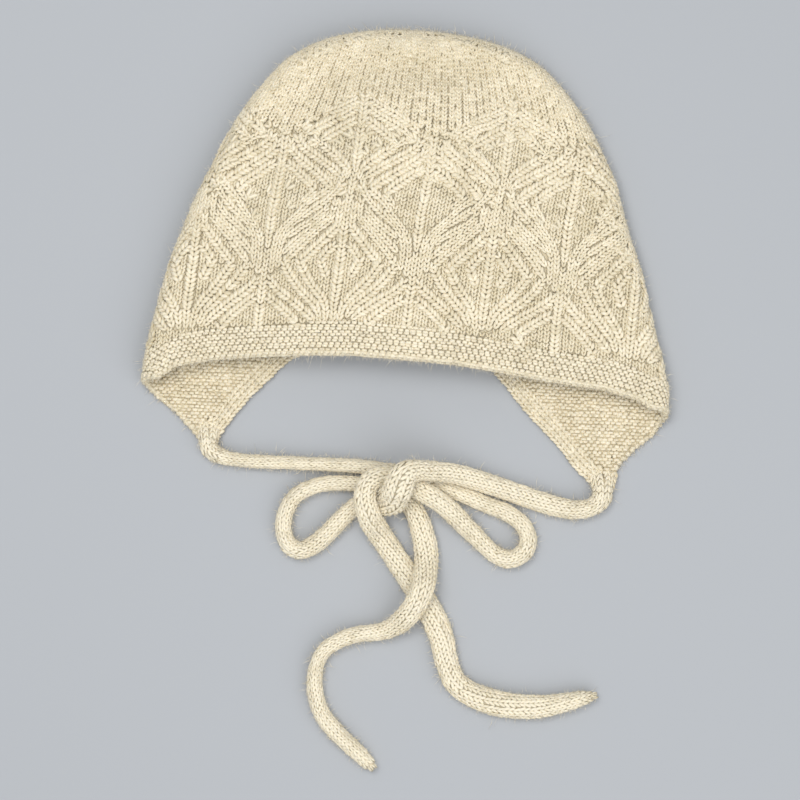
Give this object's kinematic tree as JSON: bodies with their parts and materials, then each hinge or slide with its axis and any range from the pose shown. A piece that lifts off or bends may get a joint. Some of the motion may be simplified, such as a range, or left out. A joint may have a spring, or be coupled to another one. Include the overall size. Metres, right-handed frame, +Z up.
{
  "type": "knitted baby hat",
  "caption": "Cream knitted baby hat with ear flaps, lying flat on its back, with a lace-patterned front, garter stitch front band and knitted cords tied in a bow.",
  "frame": {"origin": "on the table under the middle of the hat's box, ties left out", "axes": "+X across the hat to the wearer's left ear as it lies face up, +Y from the face opening to the crown, +Z up from the table"},
  "size_m": [0.2001, 0.2808, 0.0248],
  "materials": {
    "body_knit": "fuzzy cream wool in stockinette stitch with a lace pattern",
    "band_knit": "fuzzy cream wool in garter stitch",
    "edging_knit": "fuzzy cream wool in a narrow chain edging",
    "tie_knit": "fuzzy cream wool in a round knitted cord"
  },
  "bodies": {
    "root": {"hat_body": "body_knit", "front_band": "band_knit", "nape_edging": "edging_knit", "tie_left": "tie_knit", "tie_right": "tie_knit"}
  },
  "joints": []
}
